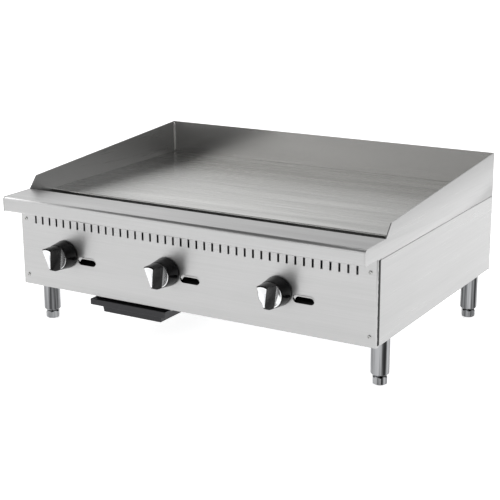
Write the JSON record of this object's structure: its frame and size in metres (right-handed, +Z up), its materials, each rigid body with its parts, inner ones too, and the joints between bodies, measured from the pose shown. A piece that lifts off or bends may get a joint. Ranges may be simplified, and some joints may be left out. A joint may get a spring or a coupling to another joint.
{
  "type": "flat top griddle",
  "caption": "Counter-top gas griddle: steel cooking plate between splash guards, front ledge and grease trough, turning control knobs, sliding drip tray and screw-adjusted feet.",
  "frame": {"origin": "on the floor, under the middle of the object's box", "axes": "+X to the right along the control panel, +Y to the back, +Z up; the controls face -Y"},
  "size_m": [0.9144, 0.736, 0.3892],
  "materials": {
    "brushed_stainless": "satin, brushed along the sheet",
    "griddle_steel": "ground steel plate, satin",
    "galvanised_steel": "zinc coated, dull",
    "polished_chrome": "polished",
    "knob_chrome": "polished chrome plating",
    "dark_tray_steel": "dark satin",
    "black_iron_pipe": "dull black",
    "aluminised_steel": "matt",
    "brass": "turned",
    "zinc_fastener": "bright zinc"
  },
  "bodies": {
    "cabinet": {"griddle_plate": "griddle_steel", "rear_splash_guard": "brushed_stainless", "left_splash_guard": "brushed_stainless", "right_splash_guard": "brushed_stainless", "front_ledge": "brushed_stainless", "grease_trough": "brushed_stainless", "grease_chute": "brushed_stainless", "left_side_panel": "brushed_stainless", "right_side_panel": "brushed_stainless", "front_panel": "brushed_stainless", "rear_panel": "galvanised_steel", "bottom_panel": "galvanised_steel", "heat_shield": "galvanised_steel", "front_panel_screws": "zinc_fastener", "rear_panel_screws": "zinc_fastener", "leg_mount_plates": "galvanised_steel", "left_tray_rail": "galvanised_steel", "right_tray_rail": "galvanised_steel", "gas_manifold": "black_iron_pipe", "gas_supply_pipe": "black_iron_pipe", "orifice_spuds": "brass", "pilot_valves": "brass", "pilot_tubes": "aluminised_steel", "pilot_burners": "aluminised_steel", "front_burner_support": "galvanised_steel", "rear_burner_support": "galvanised_steel", "front_left_post": "galvanised_steel", "front_left_leg": "polished_chrome", "rear_left_post": "galvanised_steel", "rear_left_leg": "polished_chrome", "front_right_post": "galvanised_steel", "front_right_leg": "polished_chrome", "rear_right_post": "galvanised_steel", "rear_right_leg": "polished_chrome", "left_gas_valve": "brass", "left_burner": "aluminised_steel", "middle_gas_valve": "brass", "middle_burner": "aluminised_steel", "right_gas_valve": "brass", "right_burner": "aluminised_steel"},
    "left_control": {"left_knob": "knob_chrome", "left_valve_stem": "zinc_fastener"},
    "left_shutter": {"left_air_shutter": "galvanised_steel"},
    "middle_control": {"middle_knob": "knob_chrome", "middle_valve_stem": "zinc_fastener"},
    "middle_shutter": {"middle_air_shutter": "galvanised_steel"},
    "right_control": {"right_knob": "knob_chrome", "right_valve_stem": "zinc_fastener"},
    "right_shutter": {"right_air_shutter": "galvanised_steel"},
    "tray": {"drip_tray": "dark_tray_steel"},
    "front_left_levelling_foot": {"front_left_foot": "polished_chrome"},
    "rear_left_levelling_foot": {"rear_left_foot": "polished_chrome"},
    "front_right_levelling_foot": {"front_right_foot": "polished_chrome"},
    "rear_right_levelling_foot": {"rear_right_foot": "polished_chrome"}
  },
  "joints": [
    {"name": "left_knob_turn", "type": "hinge", "parent": "cabinet", "child": "left_control", "pos_m": [-0.329, -0.3, 0.189], "axis": [0, -1, 0], "range_deg": [0, 180]},
    {"name": "left_shutter_turn", "type": "hinge", "parent": "cabinet", "child": "left_shutter", "pos_m": [-0.329, -0.201, 0.189], "axis": [0, 1, 0], "range_deg": [0, 45]},
    {"name": "middle_knob_turn", "type": "hinge", "parent": "cabinet", "child": "middle_control", "pos_m": [-0.049, -0.3, 0.189], "axis": [0, -1, 0], "range_deg": [0, 180]},
    {"name": "middle_shutter_turn", "type": "hinge", "parent": "cabinet", "child": "middle_shutter", "pos_m": [-0.049, -0.201, 0.189], "axis": [0, 1, 0], "range_deg": [0, 45]},
    {"name": "right_knob_turn", "type": "hinge", "parent": "cabinet", "child": "right_control", "pos_m": [0.231, -0.3, 0.189], "axis": [0, -1, 0], "range_deg": [0, 180]},
    {"name": "right_shutter_turn", "type": "hinge", "parent": "cabinet", "child": "right_shutter", "pos_m": [0.231, -0.201, 0.189], "axis": [0, 1, 0], "range_deg": [0, 45]},
    {"name": "drip_tray_slide", "type": "slide", "parent": "cabinet", "child": "tray", "axis": [0, -1, 0], "range_m": [0, 0.26]},
    {"name": "front_left_foot_screw", "type": "slide", "parent": "cabinet", "child": "front_left_levelling_foot", "axis": [0, 0, -1], "range_m": [0, 0.025]},
    {"name": "rear_left_foot_screw", "type": "slide", "parent": "cabinet", "child": "rear_left_levelling_foot", "axis": [0, 0, -1], "range_m": [0, 0.025]},
    {"name": "front_right_foot_screw", "type": "slide", "parent": "cabinet", "child": "front_right_levelling_foot", "axis": [0, 0, -1], "range_m": [0, 0.025]},
    {"name": "rear_right_foot_screw", "type": "slide", "parent": "cabinet", "child": "rear_right_levelling_foot", "axis": [0, 0, -1], "range_m": [0, 0.025]}
  ]
}
